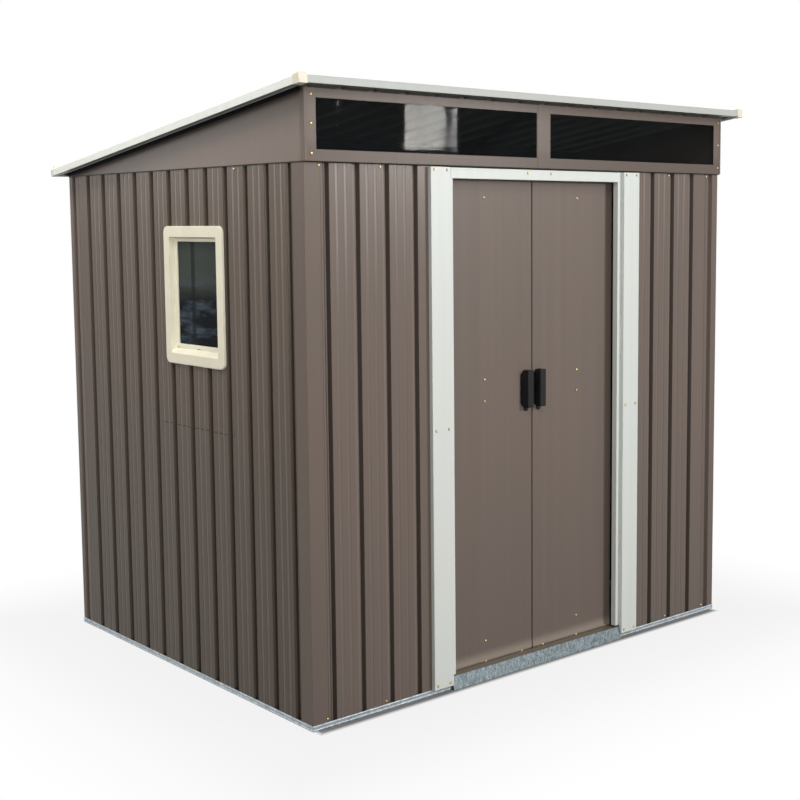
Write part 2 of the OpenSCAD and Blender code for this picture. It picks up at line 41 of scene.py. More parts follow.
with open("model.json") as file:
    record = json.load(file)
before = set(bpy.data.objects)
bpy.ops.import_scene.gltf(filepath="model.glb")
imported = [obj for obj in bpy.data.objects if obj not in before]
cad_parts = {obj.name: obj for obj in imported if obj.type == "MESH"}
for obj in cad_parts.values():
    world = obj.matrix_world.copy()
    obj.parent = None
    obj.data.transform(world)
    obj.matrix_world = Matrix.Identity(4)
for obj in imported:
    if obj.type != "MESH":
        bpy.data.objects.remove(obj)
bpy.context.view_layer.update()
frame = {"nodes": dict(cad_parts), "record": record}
nodes = frame["nodes"]

wall_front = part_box("front_wall_left")[0].y
wall_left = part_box("left_wall")[0].x
wall_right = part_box("right_wall")[1].x
wall_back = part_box("back_wall")[1].y
wall_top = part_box("left_wall")[1].z

# ---------------------------------------------------------------- camera

# the place in metres, angles in degrees, the sensor and the lens in millimetres
CAMERA_PLACE = (-2.974, -3.708, 1.427)
CAMERA_AZIMUTH = 41.72
CAMERA_TILT = 5.755
CAMERA_ROLL = -0.293
CAMERA_SHIFT = (-0.09, -0.0538)
SENSOR = 36.0
LENS = 60.0


def add_camera():
    data = bpy.data.cameras.new("camera")
    data.sensor_width = SENSOR
    data.lens = LENS
    data.shift_x, data.shift_y = CAMERA_SHIFT
    camera = bpy.data.objects.new("camera", data)
    bpy.context.scene.collection.objects.link(camera)
    turn = Matrix.Rotation(math.radians(-CAMERA_AZIMUTH), 4, "Z")
    tilt = Matrix.Rotation(math.radians(90 - CAMERA_TILT), 4, "X")
    roll = Matrix.Rotation(math.radians(CAMERA_ROLL), 4, "Z")
    camera.matrix_world = Matrix.Translation(CAMERA_PLACE) @ turn @ tilt @ roll
    bpy.context.scene.camera = camera


# ---------------------------------------------------------------- materials


class Finish:
    """A Principled material whose colour, roughness and bump are built from nodes."""

    def __init__(self, name, **sockets):
        self.material = bpy.data.materials.new(name)
        self.material.use_nodes = True
        self.tree = self.material.node_tree
        self.shader = self.tree.nodes["Principled BSDF"]
        for socket, value in sockets.items():
            self.shader.inputs[socket.replace("_", " ")].default_value = value
        self.object_place = self.add("ShaderNodeTexCoord").outputs["Object"]
        self.height = None

    def add(self, kind, **settings):
        node = self.tree.nodes.new(kind)
        for key, value in settings.items():
            setattr(node, key, value)
        return node

    def link(self, source, target):
        self.tree.links.new(source, target)

    def math(self, operation, a, b=None, clamp=False):
        node = self.add("ShaderNodeMath", operation=operation, use_clamp=clamp)
        for socket, value in zip(node.inputs, (a, b)):
            if value is None:
                continue
            if isinstance(value, (int, float)):
                socket.default_value = value
            else:
                self.link(value, socket)
        return node.outputs[0]

    def times(self, a, b):
        return self.math("MULTIPLY", a, b)

    def axis(self, name):
        """One coordinate of the surface point, in metres."""
        split = self.add("ShaderNodeSeparateXYZ")
        self.link(self.object_place, split.inputs[0])
        return split.outputs[name]

    def facing(self, name):
        """One coordinate of the true normal, from -1 to 1."""
        split = self.add("ShaderNodeSeparateXYZ")
        self.link(self.add("ShaderNodeNewGeometry").outputs["True Normal"], split.inputs[0])
        return split.outputs[name]

    def stretched(self, scale):
        mapping = self.add("ShaderNodeMapping")
        mapping.inputs["Scale"].default_value = scale
        self.link(self.object_place, mapping.inputs["Vector"])
        return mapping.outputs[0]

    def noise(self, scale, detail=2.0, stretch=(1, 1, 1), roughness=0.5):
        node = self.add("ShaderNodeTexNoise")
        self.link(self.stretched(stretch), node.inputs["Vector"])
        node.inputs["Scale"].default_value = scale
        node.inputs["Detail"].default_value = detail
        node.inputs["Roughness"].default_value = roughness
        return node.outputs["Fac"]

    def ranged(self, value, low, high, to_low, to_high, smooth=False):
        """Value, taken from low..high to to_low..to_high and held at both ends."""
        node = self.add("ShaderNodeMapRange")
        if smooth:
            node.interpolation_type = "SMOOTHSTEP"
        for name, number in zip(("From Min", "From Max", "To Min", "To Max"),
                                (low, high, to_low, to_high)):
            node.inputs[name].default_value = number
        self.link(value, node.inputs["Value"])
        return node.outputs["Result"]

    def mixed(self, factor, a, b):
        """Colour a, turned into colour b by factor."""
        node = self.add("ShaderNodeMix", data_type="RGBA", blend_type="MIX")
        self.link(factor, node.inputs["Factor"])
        for name, value in (("A", a), ("B", b)):
            socket = [s for s in node.inputs if s.name == name and s.type == "RGBA"][0]
            if isinstance(value, tuple):
                socket.default_value = (*value, 1.0)
            else:
                self.link(value, socket)
        return [s for s in node.outputs if s.type == "RGBA"][0]

    def bump(self, height, distance, strength=1.0):
        """Adds a relief on top of the ones that are there already."""
        node = self.add("ShaderNodeBump")
        node.inputs["Strength"].default_value = strength
        node.inputs["Distance"].default_value = distance
        self.link(height, node.inputs["Height"])
        if self.height is not None:
            self.link(self.height, node.inputs["Normal"])
        self.height = node.outputs["Normal"]

    def rounded_folds(self, radius):
        """Starts the relief from normals that turn softly over the sharp folds."""
        node = self.add("ShaderNodeBevel", samples=6)
        node.inputs["Radius"].default_value = radius
        self.height = node.outputs["Normal"]

    def done(self, colour, roughness, alpha=None):
        for name, source in (("Base Color", colour), ("Roughness", roughness),
                             ("Alpha", alpha), ("Normal", self.height)):
            if source is not None:
                self.link(source, self.shader.inputs[name])
        return self.material


def scaled(colour, factor):
    return tuple(c * factor for c in colour)


def gable_edge():
    """Top edge of the gables: where it starts at the front, its height there and its fall."""
    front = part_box("transom_sheet_left")[1].y + 2 * MM
    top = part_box("gable_left")[1].z - 5 * MM
    side_low, side_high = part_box("roof_trim_left")
    fall = (side_high.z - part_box("roof_trim_back")[1].z) / (side_high.y - side_low.y)
    return front, top, fall


# The ribs of a wall sheet are told apart by their depth below its outer face, in metres, and by how
# far the normal leans along the pitch.
BEAD_DEPTH = (0.3 * MM, 1.3 * MM)
BEAD_LIMIT = (1.8 * MM, 2.6 * MM)
FLOOR_DEPTH = (9 * MM, 11 * MM)
GENTLE_SLOPE = (0.6, 0.7)
FLANK_SLOPE = (0.6, 0.75)

# across is the axis of the pitch and away the one that the sheet faces along. BEAD_HIGHLIGHT is a painted
# highlight on the beads, which goes from low_shine to high_shine over the heights BEAD_HIGHLIGHT_HEIGHT and
# fades to far_share of that over the stretch HIGHLIGHT_CORNER_FADE, away from the corner. FLANK_SHADE_TONE
# paints shade on the flanks of the grooves by the share flank_dirt, and FLOOR_LIGHT_TONE paints light on
# their floors by the share
# FLOOR_LIGHT_SHARE. Tones are factors on the colour of the paint.
Beads = namedtuple("Beads", "across away low_shine high_shine far_share flank_dirt")
BEAD_HIGHLIGHT_HEIGHT = (1.15, 1.62)
HIGHLIGHT_CORNER_FADE = (-0.9, -0.42)
BEAD_HIGHLIGHT = (0.42, 0.40, 0.375)
FLANK_SHADE_TONE = 0.12
FLOOR_LIGHT_TONE = 1.7
FLOOR_LIGHT_SHARE = 0.35


def fold_masks(finish, across, away):
    """Masks of a ribbed sheet: its fine beads, and the flanks and the floors of its grooves."""
    slope = finish.math("ABSOLUTE", finish.facing(across))
    near, far = (wall_front, wall_back) if away == "Y" else (wall_left, wall_right)
    from_middle = finish.math("ABSOLUTE", finish.math("SUBTRACT", finish.axis(away), (near + far) / 2))
    depth = finish.math("SUBTRACT", (far - near) / 2, from_middle)
    pressed = finish.ranged(depth, *BEAD_DEPTH, 0, 1, smooth=True)
    shallow = finish.ranged(depth, *BEAD_LIMIT, 1, 0)
    gentle = finish.ranged(slope, *GENTLE_SLOPE, 1, 0)
    beads = finish.times(finish.times(pressed, shallow), gentle)
    flanks = finish.ranged(slope, *FLANK_SLOPE, 0, 1)
    floors = finish.times(finish.ranged(depth, *FLOOR_DEPTH, 0, 1), gentle)
    return beads, flanks, floors


def ribbed(finish, base, colour, beads):
    """Beads with a painted highlight near the top edge, and painted shade on the flanks and painted light
    on the floors of the grooves.
    """
    bead, flank, floor = fold_masks(finish, beads.across, beads.away)
    bead_highlight = finish.ranged(finish.axis("Z"), *BEAD_HIGHLIGHT_HEIGHT, beads.low_shine, beads.high_shine, smooth=True)
    highlight_near_corner = finish.ranged(finish.axis(beads.across), *HIGHLIGHT_CORNER_FADE, 1, beads.far_share)
    base = finish.mixed(finish.times(finish.times(bead_highlight, highlight_near_corner), bead), base, BEAD_HIGHLIGHT)
    base = finish.mixed(finish.times(flank, beads.flank_dirt), base, scaled(colour, FLANK_SHADE_TONE))
    return finish.mixed(finish.times(floor, FLOOR_LIGHT_SHARE), base, scaled(colour, FLOOR_LIGHT_TONE))


DUST = (0.30, 0.28, 0.25)
# factor on the paint's colour for the painted shade towards the bottom
LOWER_SHADE_TONE = 0.5
# colour of the painted shade on the faces that look down
UNDERSIDE_SHADE = (0.022, 0.024, 0.022)
# metres below the top edge of the gable at which the shade starts and is full
EAVE_BAND = (0.075, 0.005)
EAVE_TONE = 0.2


def shaded_below_roof(finish, base, colour, share):
    """Soft shade on the gable, in a band below the sloping edge of the roof."""
    front, top, fall = gable_edge()
    level = finish.math("ADD", finish.axis("Z"), finish.times(finish.axis("Y"), fall))
    edge = top + fall * front
    shade = finish.ranged(level, edge - EAVE_BAND[0], edge - EAVE_BAND[1], 0, share, smooth=True)
    return finish.mixed(shade, base, scaled(colour, EAVE_TONE))


# heights above the foot of a door, in metres, and the two colours: a painted highlight on the swelling and
# painted shade below it
FOOT_HIGHLIGHT_RISE = (0.014, 0.024)
FOOT_HIGHLIGHT_FALL = (0.030, 0.060)
FOOT_SHADE_TOP = (0.012, 0.016)
FOOT_HIGHLIGHT = (0.36, 0.31, 0.26)
FOOT_SHADE = (0.10, 0.085, 0.055)


def foot_highlight_and_shade(finish, base, foot):
    """A door sheet with a painted highlight on the swelling above its foot, and painted shade below it."""
    up = finish.axis("Z")
    rise = finish.ranged(up, foot + FOOT_HIGHLIGHT_RISE[0], foot + FOOT_HIGHLIGHT_RISE[1], 0, 0.5, smooth=True)
    fall = finish.ranged(up, foot + FOOT_HIGHLIGHT_FALL[0], foot + FOOT_HIGHLIGHT_FALL[1], 1, 0, smooth=True)
    base = finish.mixed(finish.times(rise, fall), base, FOOT_HIGHLIGHT)
    shaded_foot = finish.ranged(up, foot + FOOT_SHADE_TOP[0], foot + FOOT_SHADE_TOP[1], 0.45, 0)
    return finish.mixed(shaded_foot, base, FOOT_SHADE)


FOLD_RADIUS = 2.4 * MM
# pitch of the fine lines left by the rolls in the flat door sheets
ROLL_PITCH = 9.3 * MM


def painted_sheet(name, colour, roughness, spread=0.035, ribs=False, dust=0.0, gloss_level=0.22,
                  beads=None, foot=None, underside_shade=0.0, eave_shade=0.0, lower_shade=None):
    """Factory paint on thin steel: streaks along the roll direction, slight waves, orange peel.

    spread is how far the streaks differ, and dust is a share of dust. grime is the share of painted shade
    on faces that look down, and eave_shade that of painted shade below the roof's edge. beads is a Beads
    for a ribbed sheet, which paints highlights, shade and light on it, foot the height of a door's foot,
    where a painted highlight and painted shade go, and ribs adds roll lines. soil is the height up to which
    the colour is darkest, the height where that ends, and its share: painted shade towards the bottom.
    """
    finish = Finish(name, Specular_IOR_Level=gloss_level)
    streaks = finish.noise(34, 3, stretch=(1, 1, 0.012), roughness=0.6)
    clouds = finish.noise(2.3, 3)
    base = finish.mixed(finish.ranged(streaks, 0.3, 0.7, 0, 1),
                        scaled(colour, 1 - spread), scaled(colour, 1 + spread))
    tint = (colour[0] * 1.03, colour[1] * 0.98, colour[2] * 0.97)
    base = finish.mixed(finish.ranged(clouds, 0.25, 0.8, 0, 0.6, smooth=True), base, tint)
    if dust:
        base = finish.mixed(finish.ranged(finish.noise(420, 2), 0.74, 0.8, 0, dust), base, DUST)
    # painted shade: the colour darkens towards the bottom
    if lower_shade:
        low, high, share = lower_shade
        shaded_low = finish.ranged(finish.axis("Z"), low, high, share, 0, smooth=True)
        base = finish.mixed(shaded_low, base, scaled(colour, LOWER_SHADE_TONE))
    if beads:
        base = ribbed(finish, base, colour, beads)
    if underside_shade:
        # painted shade on the faces that look down
        base = finish.mixed(finish.ranged(finish.facing("Z"), -0.7, -0.4, underside_shade, 0), base, UNDERSIDE_SHADE)
    if eave_shade:
        base = shaded_below_roof(finish, base, colour, eave_shade)
    if foot:
        base = foot_highlight_and_shade(finish, base, foot)
    gloss = finish.noise(60, 3, stretch=(1, 1, 0.03))
    rough = finish.ranged(gloss, 0.2, 0.8, roughness - 0.012, roughness + 0.02, smooth=True)
    finish.rounded_folds(FOLD_RADIUS)
    finish.bump(finish.noise(3.1, 0, stretch=(1, 1, 0.3)), 1.5 * MM, 0.3)
    if ribs:
        line = finish.math("SINE", finish.times(finish.axis("X"), 2 * math.pi / ROLL_PITCH))
        finish.bump(line, 0.05 * MM, 0.8)
    finish.bump(finish.noise(900, 1), 0.03 * MM, 0.5)
    return finish.done(base, rough)


def roof_paint(name, top, underside, roughness):
    """Roof sheet: wall paint above, a pale back coat below."""
    finish = Finish(name)
    streaks = finish.noise(24, 4, stretch=(1, 0.05, 1), roughness=0.6)
    streak = finish.ranged(streaks, 0.3, 0.7, 0, 1)
    above = finish.mixed(streak, scaled(top, 0.92), scaled(top, 1.08))
    below = finish.mixed(streak, scaled(underside, 0.9), underside)
    colour = finish.mixed(finish.ranged(finish.facing("Z"), -0.05, 0.05, 0, 1), below, above)
    finish.bump(finish.noise(3.5, 2, stretch=(1, 0.5, 1)), 2 * MM, 0.5)
    rough = finish.ranged(finish.noise(11, 3), 0.3, 0.7, roughness - 0.05, roughness + 0.07)
    return finish.done(colour, rough)


def galvanised(name, light, dark, scale, streak=(1, 1, 1), contrast=1.0, top=None,
               roughness=(0.34, 0.56)):
    """Zinc coat with a spangle of crystals that differ in shade and gloss.

    scale is crystals a metre, streak stretches them, and top is a colour for the faces that look up, which
    on the threshold is painted shade and a painted reflection of the door above it.
    """
    finish = Finish(name, Metallic=0.75, IOR=1.6)
    warp = finish.noise(scale * 0.6, 2)
    place = finish.stretched(streak)
    shift = finish.add("ShaderNodeVectorMath", operation="ADD")
    finish.link(place, shift.inputs[0])
    finish.link(finish.times(warp, 0.02), shift.inputs[1])
    cells = finish.add("ShaderNodeTexVoronoi")
    cells.inputs["Scale"].default_value = scale
    cells.inputs["Randomness"].default_value = 1.0
    finish.link(shift.outputs[0], cells.inputs["Vector"])
    shade = finish.add("ShaderNodeSeparateColor")
    finish.link(cells.outputs["Color"], shade.inputs[0])
    smear = finish.noise(scale * 1.7, 4, stretch=streak, roughness=0.7)
    crystal = finish.times(shade.outputs[0], 0.45 * contrast)
    value = finish.math("ADD", crystal, finish.ranged(smear, 0.3, 0.7, 0, 0.55), clamp=True)
    colour = finish.mixed(value, dark, light)
    if top:
        colour = finish.mixed(finish.ranged(finish.facing("Z"), 0.6, 0.9, 0, 0.85), colour, top)
    rough = finish.ranged(shade.outputs[1], 0, 1, *roughness)
    finish.bump(value, 0.12 * MM, 0.5)
    finish.bump(finish.noise(6, 1), 1.5 * MM, 0.3)
    return finish.done(colour, rough)


def moulded(name, colour, roughness, grain=0.04, spread=0.04, gloss_level=0.5):
    """Satin moulded plastic with slight soiling and a fine grain, given in millimetres."""
    finish = Finish(name, IOR=1.46, Specular_IOR_Level=gloss_level)
    clouds = finish.noise(14, 3)
    base = finish.mixed(finish.ranged(clouds, 0.35, 0.65, 0, 1),
                        scaled(colour, 1 - spread), scaled(colour, 1 + spread / 2))
    rough = finish.ranged(finish.noise(40, 2), 0.3, 0.7, roughness - 0.05, roughness + 0.05)
    finish.bump(finish.noise(1400, 1), grain * MM, 0.6)
    return finish.done(base, rough)


def tinted_sheet(name, colour, cover, roughness=0.015):
    """Dark see-through sheet: cover is the share of what stands behind that it hides."""
    finish = Finish(name, Specular_IOR_Level=0.04)
    smudge = finish.noise(7, 4, stretch=(1, 1, 0.5), roughness=0.6)
    base = finish.mixed(finish.ranged(smudge, 0.35, 0.75, 0, 1),
                        scaled(colour, 0.7), scaled(colour, 1.5))
    alpha = finish.ranged(smudge, 0.3, 0.8, cover - 0.04, cover + 0.05)
    rough = finish.ranged(smudge, 0.3, 0.7, roughness * 0.7, roughness * 1.6)
    finish.bump(finish.noise(3.2, 1, stretch=(1, 1, 1.6)), 0.8 * MM, 0.12)
    return finish.done(base, rough, alpha=alpha)


# heights above the foot of the window pane, in metres: where the painted light of the lit inside fades in,
# and where the painted bluish reflections fade
LIT_INSIDE_FROM = (0.19, 0.27)
REFLECTIONS_END = (0.24, 0.16)
# a dark upright painted on the glass, standing for a shaded groove of the wall inside: its distance from
# the pane's rear edge, and its half width with the soft edge
UPRIGHT_PLACE = 0.098
UPRIGHT_HALF = (0.008, 0.014)
# colours of the glass: its own dark tint, painted light of the lit inside, a painted bluish reflection, and
# the painted shade of the upright
GLASS_DARK = (0.007, 0.009, 0.012)
GLASS_LIT_INSIDE = (0.062, 0.074, 0.064)
GLASS_REFLECTION = (0.070, 0.098, 0.135)
GLASS_UPRIGHT_SHADE = (0.012, 0.013, 0.013)


def window_glass(name):
    """Tinted glass with painted light of the lit inside above, painted bluish reflections below and the
    painted shade of an upright.
    """
    finish = Finish(name, Specular_IOR_Level=0.03)
    low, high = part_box("window_pane")
    up = finish.axis("Z")
    waver = finish.times(finish.noise(6, 3, stretch=(1, 0.5, 1)), 0.09)
    lit_inside = finish.ranged(finish.math("ADD", up, waver), low.z + LIT_INSIDE_FROM[0], low.z + LIT_INSIDE_FROM[1],
                          0, 1, smooth=True)
    colour = finish.mixed(lit_inside, GLASS_DARK, GLASS_LIT_INSIDE)
    smudges = finish.noise(15, 5, stretch=(1, 0.3, 1.7), roughness=0.62)
    reflection_streaks = finish.ranged(smudges, 0.47, 0.62, 0, 1)
    near_middle = finish.ranged(up, low.z + REFLECTIONS_END[0], low.z + REFLECTIONS_END[1], 0.25, 1, smooth=True)
    colour = finish.mixed(finish.times(reflection_streaks, near_middle), colour, GLASS_REFLECTION)
    strip = finish.math("ABSOLUTE", finish.math("SUBTRACT", finish.axis("Y"), high.y - UPRIGHT_PLACE))
    upright = finish.ranged(strip, *UPRIGHT_HALF, 0.7, 0, smooth=True)
    colour = finish.mixed(upright, colour, GLASS_UPRIGHT_SHADE)
    finish.bump(finish.noise(3.2, 1), 0.6 * MM, 0.3)
    rough = finish.ranged(reflection_streaks, 0, 1, 0.05, 0.16)
    alpha = finish.ranged(lit_inside, 0, 1, 0.80, 0.93)
    return finish.done(colour, rough, alpha=alpha)


def plated(name, light, dark):
    """Yellow passivated zinc of the screws."""
    finish = Finish(name, Metallic=0.9)
    value = finish.noise(600, 3)
    colour = finish.mixed(finish.ranged(value, 0.35, 0.65, 0, 1), dark, light)
    return finish.done(colour, finish.ranged(value, 0.3, 0.7, 0.28, 0.42))


TAUPE = (0.161, 0.128, 0.108)
# a darker copy of the wall paint for the side walls: painted shade
SIDE_TAUPE_SHADED = (0.1364, 0.1056, 0.0825)
PALE = (0.72, 0.755, 0.72)
# a darker copy of the pale trim paint for the front roof trim: painted shade
ROOF_TRIM_SHADED = (0.49, 0.51, 0.48)
# a lighter copy of the pale trim paint for the side and back roof trims: painted light
EAVE_TRIM_LIT = (0.8784, 0.9211, 0.8784)
ROOF_BACK_COAT = (0.40, 0.43, 0.40)
# the nose of the roof sheet, far darker than its pale back coat: painted shade
ROOF_NOSE_SHADED = (0.10, 0.105, 0.095)
# a cream brightened beyond the caps' cream, for the window frame: painted light
CREAM_BRIGHTENED = (0.92, 0.885, 0.715)
CREAM_CAP = (0.78, 0.735, 0.59)
BLACK = (0.006, 0.006, 0.007)
# near black for the track, the beam and the upper rails inside: painted shade of the closed shed
DARK_TRACK_SHADED = (0.018, 0.019, 0.021)
PANE = (0.007, 0.008, 0.009)
# dark rubber of the washers and the window slots, also used for the painted shadow under the transom and
# the gables
DARK_RUBBER_AND_SHADOW = (0.03, 0.028, 0.025)
# near black for the bars along the top edges of the gables: painted shade
GABLE_SHADE_BLACK = (0.008, 0.008, 0.008)
SCREW_LIGHT, SCREW_DARK = (0.80, 0.62, 0.30), (0.48, 0.33, 0.13)
RAIL_LIGHT, RAIL_DARK = (0.56, 0.61, 0.635), (0.26, 0.30, 0.33)
SILL_LIGHT, SILL_DARK = (0.25, 0.30, 0.325), (0.022, 0.030, 0.034)
# the threshold's upper side: painted shade and a painted reflection of the door above it
SILL_TOP_SHADE = (0.30, 0.26, 0.20)

# darkening of the sheets towards the bottom, a painted shade: two heights and a share, as painted_sheet
# takes them
FRONT_LOWER_SHADE = (0.2, 0.85, 0.12)
SIDE_LOWER_SHADE = (0.3, 1.5, 0.42)
DOOR_LOWER_SHADE = (0.2, 0.85, 0.14)
TRANSOM_LOWER_SHADE = (wall_top + 0.02, wall_top + 0.06, 0.4)
FRONT_BEADS = Beads("X", "Y", low_shine=0.06, high_shine=0.62, far_share=0.4, flank_dirt=0.62)
SIDE_BEADS = Beads("Y", "X", low_shine=0.30, high_shine=0.55, far_share=1.0, flank_dirt=0.28)

materials = {
    "wall": painted_sheet("taupe_wall_paint", TAUPE, 0.33, dust=0.3, gloss_level=0.17, lower_shade=FRONT_LOWER_SHADE),
    "transom": painted_sheet("taupe_transom_paint", scaled(TAUPE, 1.03), 0.33, dust=0.3,
                             gloss_level=0.17, lower_shade=TRANSOM_LOWER_SHADE),
    "front_wall": painted_sheet("taupe_front_sheet", TAUPE, 0.29, dust=0.3, lower_shade=FRONT_LOWER_SHADE,
                                beads=FRONT_BEADS),
    "side_wall": painted_sheet("taupe_side_sheet_shaded", SIDE_TAUPE_SHADED, 0.27, dust=0.3, gloss_level=0.16,
                               lower_shade=SIDE_LOWER_SHADE, beads=SIDE_BEADS),
    # the gables get a lighter copy of the wall paint, a painted sheen, and painted shade below the roof's
    # edge
    "gable": painted_sheet("taupe_gable_paint_lightened", scaled(TAUPE, 1.28), 0.3, dust=0.3, eave_shade=0.65),
    "door": painted_sheet("taupe_door_paint", TAUPE, 0.42, spread=0.055, ribs=True, lower_shade=DOOR_LOWER_SHADE,
                          foot=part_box("door_left_leaf")[0].z),
    "trim": painted_sheet("pale_trim_paint", PALE, 0.38, spread=0.03),
    "roof_trim": painted_sheet("roof_trim_paint_shaded", ROOF_TRIM_SHADED, 0.4, spread=0.03, underside_shade=0.8),
    "eave_trim": painted_sheet("eave_trim_paint_lit", EAVE_TRIM_LIT, 0.4, spread=0.03, underside_shade=0.8),
    "roof": roof_paint("roof_paint", TAUPE, ROOF_BACK_COAT, 0.42),
    "rail": galvanised("galvanised_rail", RAIL_LIGHT, RAIL_DARK, 90, roughness=(0.5, 0.7)),
    "threshold": galvanised("galvanised_threshold", SILL_LIGHT, SILL_DARK, 210, streak=(1, 0.8, 0.6),
                            contrast=1.2, top=SILL_TOP_SHADE),
    "track": moulded("dull_track_shaded", DARK_TRACK_SHADED, 0.7, grain=0.08, spread=0.2),
    "nose": painted_sheet("roof_nose_shaded_paint", ROOF_NOSE_SHADED, 0.6, spread=0.08),
    "cream": moulded("cream_plastic", CREAM_BRIGHTENED, 0.45),
    "cap": moulded("cream_cap", CREAM_CAP, 0.45),
    "black": moulded("black_plastic", BLACK, 0.45, grain=0.08, spread=0.3, gloss_level=0.22),
    "pane": tinted_sheet("tinted_pane", PANE, cover=0.34),
    "window_glass": window_glass("window_glass"),
    "screw": plated("yellow_zinc", SCREW_LIGHT, SCREW_DARK),
    "rubber": moulded("dark_washer_and_shadow", DARK_RUBBER_AND_SHADOW, 0.6),
    "shade_bar_black": moulded("dark_gable_shade", GABLE_SHADE_BLACK, 0.85, gloss_level=0.1),
}

# nodes whose finish isn't the usual one of their slot
FINISH_OF = {
    "front_wall_left": "front_wall", "front_wall_right": "front_wall", "back_wall": "front_wall",
    "gable_left": "gable", "gable_right": "gable",
    "transom_sheet_left": "transom", "transom_sheet_right": "transom",
    "left_wall": "side_wall", "right_wall": "side_wall",
    "roof_cap_left": "cap", "roof_cap_right": "cap",
    "door_left_leaf": "door", "door_right_leaf": "door", "door_threshold": "threshold",
    "door_top_track": "track", "roof_beam": "track",
    "upper_rail_left": "track", "upper_rail_right": "track", "upper_rail_back": "track",
    "window_pane": "window_glass", "roof_sheet": "roof", "roof_trim_front": "roof_trim",
    "roof_trim_left": "eave_trim", "roof_trim_right": "eave_trim", "roof_trim_back": "eave_trim",
}
SLOT_FINISH = {
    "wall_paint": "wall", "trim_paint": "trim", "galvanised": "rail",
    "cream_plastic": "cream", "tinted_pane": "pane", "black_plastic": "black",
}


def dress_cad_nodes():
    for part in frame["record"]["subparts"]:
        name = part["node"]
        finish = FINISH_OF.get(name, SLOT_FINISH[part["material_slot"]])
        mesh = nodes[name].data
        mesh.materials.clear()
        mesh.materials.append(materials[finish])


# ---------------------------------------------------------------- new pieces


# edges that turn by less than this blend, in degrees
BLEND = 40


def add_piece(name, points, faces, finish, body="shell", slot=None, smooth=None, marks=None):
    """A mesh in the frame of the CAD model that rides on a body.

    smooth is the angle in degrees below which edges blend. marks is a second finish and the indices
    of the faces that have it.
    """
    mesh = bpy.data.meshes.new(name)
    mesh.from_pydata([tuple(p) for p in points], [], faces)
    mesh.materials.append(materials[finish])
    if marks:
        mesh.materials.append(materials[marks[0]])
        for index in marks[1]:
            mesh.polygons[index].material_index = 1
    mesh.update()
    if smooth is not None:
        mesh.shade_smooth()
        mesh.set_sharp_from_angle(angle=math.radians(smooth))
    piece = bpy.data.objects.new(name, mesh)
    bpy.context.scene.collection.objects.link(piece)
    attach(piece, body)
    return piece


def lofted(rings, closed_ends=True, loop=False):
    """Points of the rings, and the faces between each ring and the next."""
    count = len(rings[0])
    points = [p for ring in rings for p in ring]
    faces = []
    pairs = len(rings) if loop else len(rings) - 1
    for r in range(pairs):
        a = r * count
        b = (r + 1) % len(rings) * count
        for i in range(count):
            j = (i + 1) % count
            faces.append((a + i, a + j, b + j, b + i))
    if closed_ends and not loop:
        faces.append(tuple(reversed(range(count))))
        last = (len(rings) - 1) * count
        faces.append(tuple(range(last, last + count)))
    return points, faces


def joined(parts):
    """Several pairs of points and faces as one pair."""
    points, faces = [], []
    for more, new_faces in parts:
        start = len(points)
        faces += [tuple(start + i for i in face) for face in new_faces]
        points += more
    return points, faces


# A screw is a washer, a domed head and a cross recess, as rings round its axis: the radius and the
# height of each in millimetres, and whether it has the outline of the cross. CROSS scales the radius
# of every four points in turn.
SCREW_SIDES = 16
SCREW_RINGS = [
    (4.4, 0.0, 0), (4.4, 0.5, 0), (4.0, 0.8, 0), (3.6, 0.8, 0),
    (3.6, 1.3, 0), (3.2, 2.2, 0), (2.4, 2.8, 0), (1.9, 2.95, 0),
    (1.5, 2.95, 1), (0.8, 1.9, 1),
]
WASHER_BANDS = 3
MOST_SPIN = 1.5
CROSS = (1.0, 0.55, 0.38, 0.55)


def screw_mesh(place, out, spin):
    """Rings of one screw at place, with its head towards out."""
    side = out.orthogonal().normalized()
    across = out.cross(side)
    rings = []
    for radius, height, is_cross in SCREW_RINGS:
        ring = []
        for i in range(SCREW_SIDES):
            angle = 2 * math.pi * i / SCREW_SIDES + spin
            reach = radius * MM * (CROSS[i % 4] if is_cross else 1)
            ring.append(place + out * (height * MM)
                        + side * (reach * math.cos(angle)) + across * (reach * math.sin(angle)))
        rings.append(ring)
    return lofted(rings)


def add_screws(name, places, out, body="shell"):
    """One joined mesh of screws at the given places on one face."""
    spins = random.Random(name)
    out = Vector(out)
    screws = [screw_mesh(Vector(place), out, spins.uniform(0, MOST_SPIN)) for place in places]
    points, faces = joined(screws)
    each = len(faces) // len(places)
    washers = [k for k in range(len(faces)) if k % each < WASHER_BANDS * SCREW_SIDES]
    add_piece(name, points, faces, "screw", body, smooth=BLEND, marks=("rubber", washers))


def grid_places(xs, y, zs):
    return [(x, y, z) for x in xs for z in zs]


# Places of screws, in metres. Names that end in X, Y, Z or MIDDLE are places in the frame and the
# rest are distances from edges: in from the outer edge, from both ends, down from the top, or up
# from the foot.
JAMB_SCREWS_IN = (13 * MM, 63 * MM)
JAMB_SCREWS_ENDS = (12 * MM, 8 * MM)
JAMB_SCREW_MIDDLE = 0.811
HEADER_SCREWS_X = (-0.054, 0.049)
HEADER_SCREWS_DOWN = 11 * MM
TRANSOM_SCREWS_ENDS = (20 * MM, 14 * MM)
TRANSOM_SCREWS_ROWS = (21 * MM, 23 * MM)
WALL_SCREWS_DOWN = 19 * MM
BASE_SCREWS_Z = 27 * MM
FRONT_SCREWS_X = (-0.845, -0.634, 0.626, 0.830)
BACK_SCREWS_X = (-0.845, -0.4, 0.08, 0.5, 0.830)
SIDE_SCREW_Y = -0.346
DOOR_SCREWS_DOWN = 66 * MM
DOOR_SCREWS_Z = (0.941, 0.873, 0.108)
DOOR_SCREW_X = 0.206
FOOT_SCREWS_X = (0.048, 0.352)
FOOT_SCREWS_UP = 19 * MM


